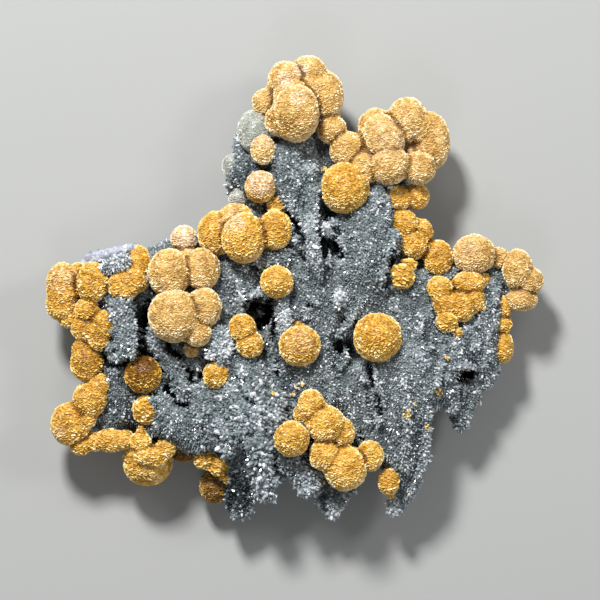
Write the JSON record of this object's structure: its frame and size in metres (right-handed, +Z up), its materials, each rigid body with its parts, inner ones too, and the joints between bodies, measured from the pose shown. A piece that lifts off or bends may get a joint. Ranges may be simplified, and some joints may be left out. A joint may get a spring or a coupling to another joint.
{
  "type": "gyrolite mineral specimen",
  "caption": "Loose mineral specimen: golden to tan gyrolite balls grown along the rim and ribs of a craggy plate of drusy grey-green quartz. It lies on its flat broken back.",
  "frame": {"origin": "on the flat broken back that the specimen rests on, near the middle of the plate", "axes": "+Z up, out of the display side; +Y towards the crown; +X to the right of the display side when the crown is at the top"},
  "size_m": [0.1244, 0.1165, 0.0275],
  "materials": {
    "drusy_quartz": "sugary crust of small glassy crystals",
    "golden_gyrolite": "fine-grained, silky and slightly pearly",
    "tan_gyrolite": "fine-grained, silky and slightly pearly",
    "pale_gyrolite": "pale, slightly see-through and pearly",
    "shaded_gyrolite": "brown, fine-grained and dull"
  },
  "bodies": {
    "root": {"quartz_matrix": "drusy_quartz", "crest_cluster": "tan_gyrolite", "pale_ball": "pale_gyrolite", "crown_bud": "tan_gyrolite", "recess_ball": "golden_gyrolite", "upper_left_ball": "golden_gyrolite", "upper_left_rosette": "golden_gyrolite", "pale_bead": "pale_gyrolite", "tan_bead": "pale_gyrolite", "triple_cluster": "golden_gyrolite", "upper_double": "tan_gyrolite", "lower_double": "tan_gyrolite", "crescent": "golden_gyrolite", "left_rim_top": "golden_gyrolite", "left_rim_upper": "golden_gyrolite", "left_rim_middle": "golden_gyrolite", "left_rim_lower": "golden_gyrolite", "shaded_ball": "golden_gyrolite", "left_rosette": "golden_gyrolite", "horseshoe": "golden_gyrolite", "lower_left_ball": "golden_gyrolite", "dark_sliver": "shaded_gyrolite", "lower_bar": "golden_gyrolite", "lower_ball": "shaded_gyrolite", "bead_ball": "golden_gyrolite", "bridge_ball": "golden_gyrolite", "figure_eight": "golden_gyrolite", "cleft_ball": "golden_gyrolite", "sheet_ball": "golden_gyrolite", "front_cluster": "golden_gyrolite", "front_ball": "golden_gyrolite", "oval_ball": "golden_gyrolite", "neck_pair": "golden_gyrolite", "neck_bend": "golden_gyrolite", "neck_rosette": "golden_gyrolite", "wing_bowl": "golden_gyrolite", "wing_bud": "golden_gyrolite", "wing_ball": "tan_gyrolite", "wing_end": "tan_gyrolite", "wing_side": "golden_gyrolite"}
  },
  "joints": []
}
